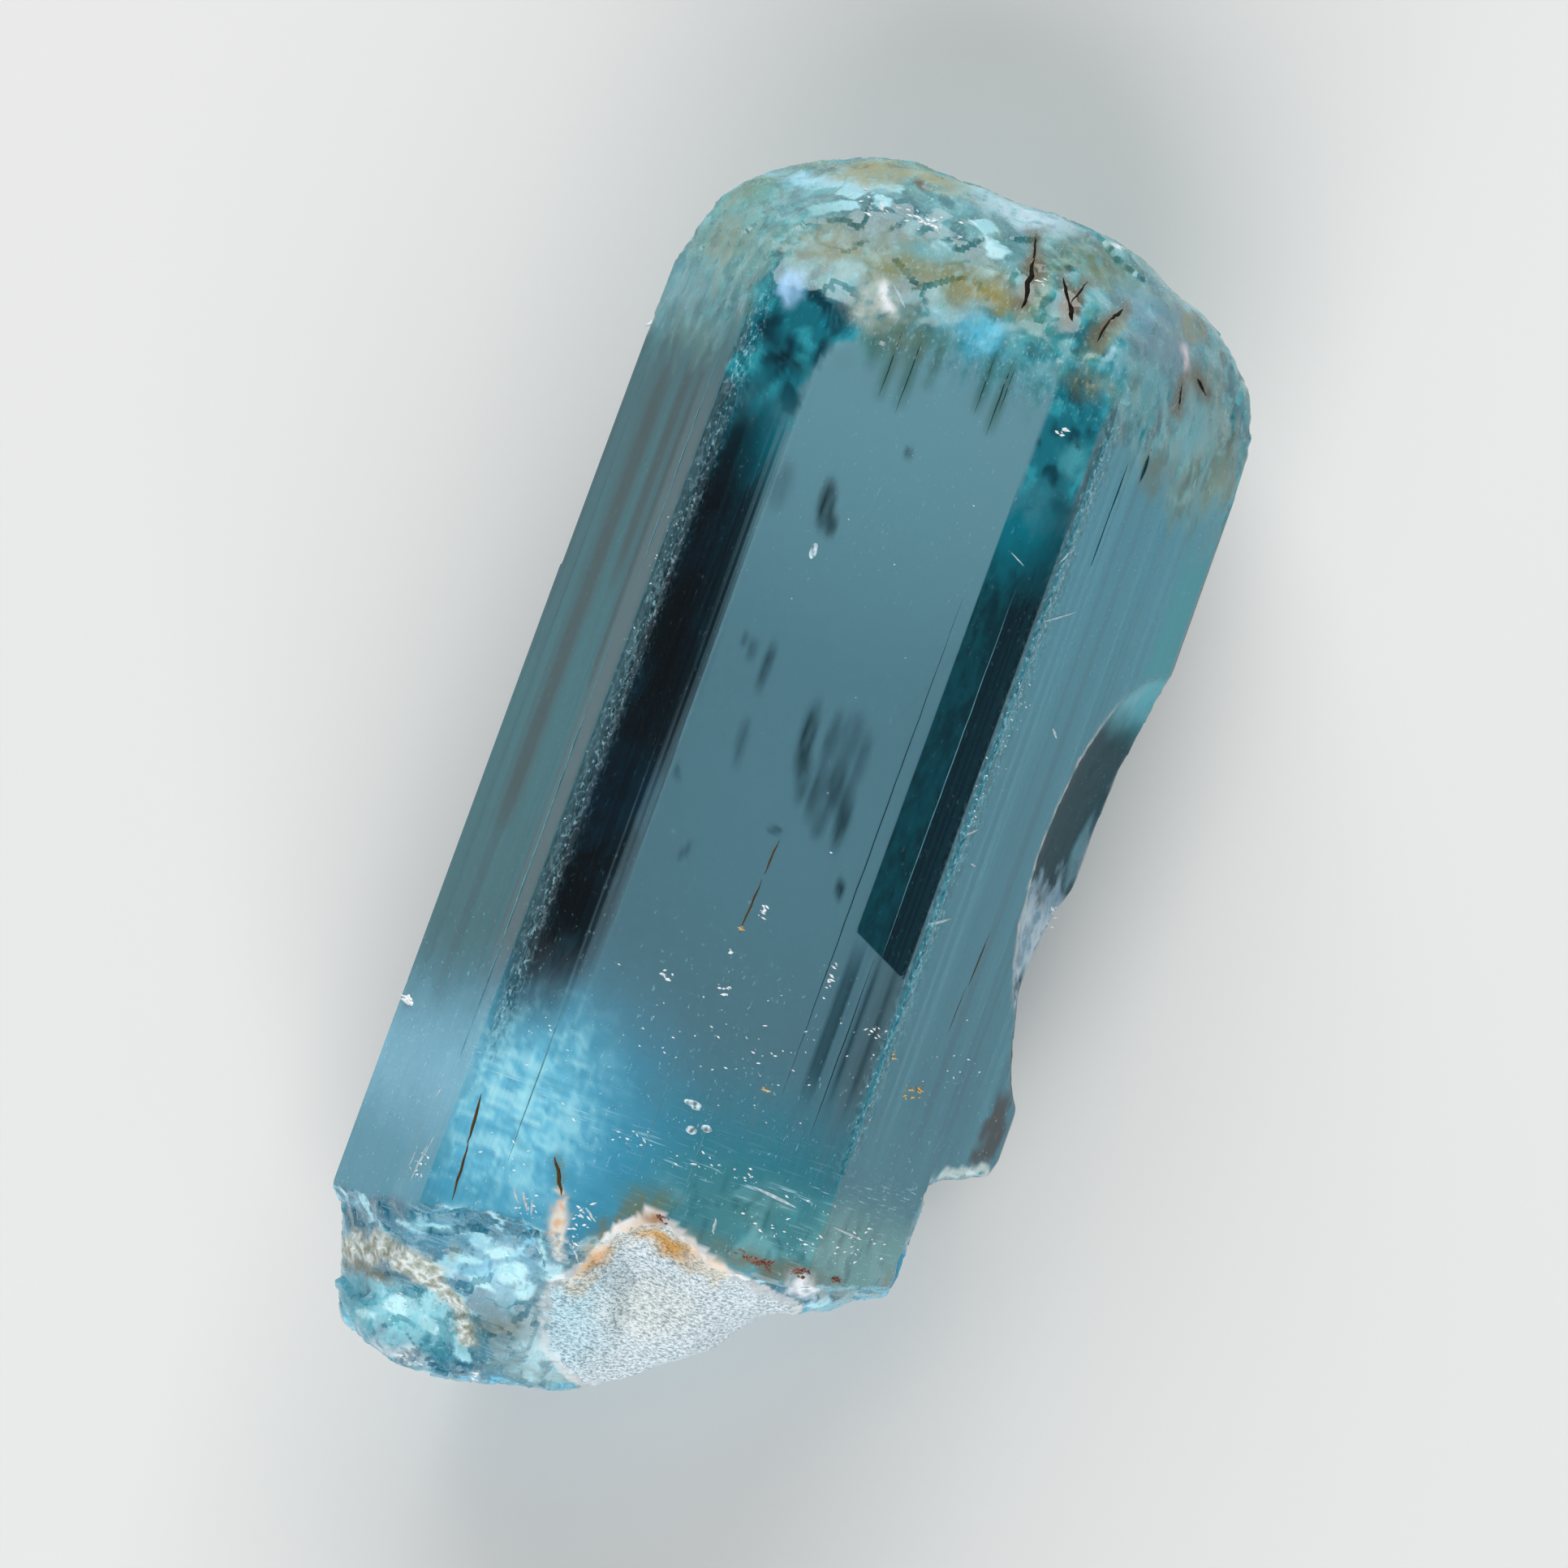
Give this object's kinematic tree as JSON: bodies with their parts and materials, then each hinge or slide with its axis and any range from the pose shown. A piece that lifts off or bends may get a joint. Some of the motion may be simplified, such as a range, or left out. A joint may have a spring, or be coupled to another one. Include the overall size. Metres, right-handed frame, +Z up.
{
  "type": "aquamarine crystal",
  "caption": "Loose natural aquamarine crystal: a clear blue-green hexagonal beryl prism with an etched rounded tip and a rough broken base, lying on a prism face.",
  "frame": {"origin": "bottom centre of the bounding box, on the surface the crystal lies on", "axes": "+Y along the c-axis, the crystal's length, from the broken base to the rounded tip; +X across the prism; +Z up from the prism face it lies on"},
  "size_m": [0.012, 0.0252, 0.0089],
  "materials": {
    "aquamarine": "polished"
  },
  "bodies": {
    "root": {"crystal": "aquamarine"}
  },
  "joints": []
}
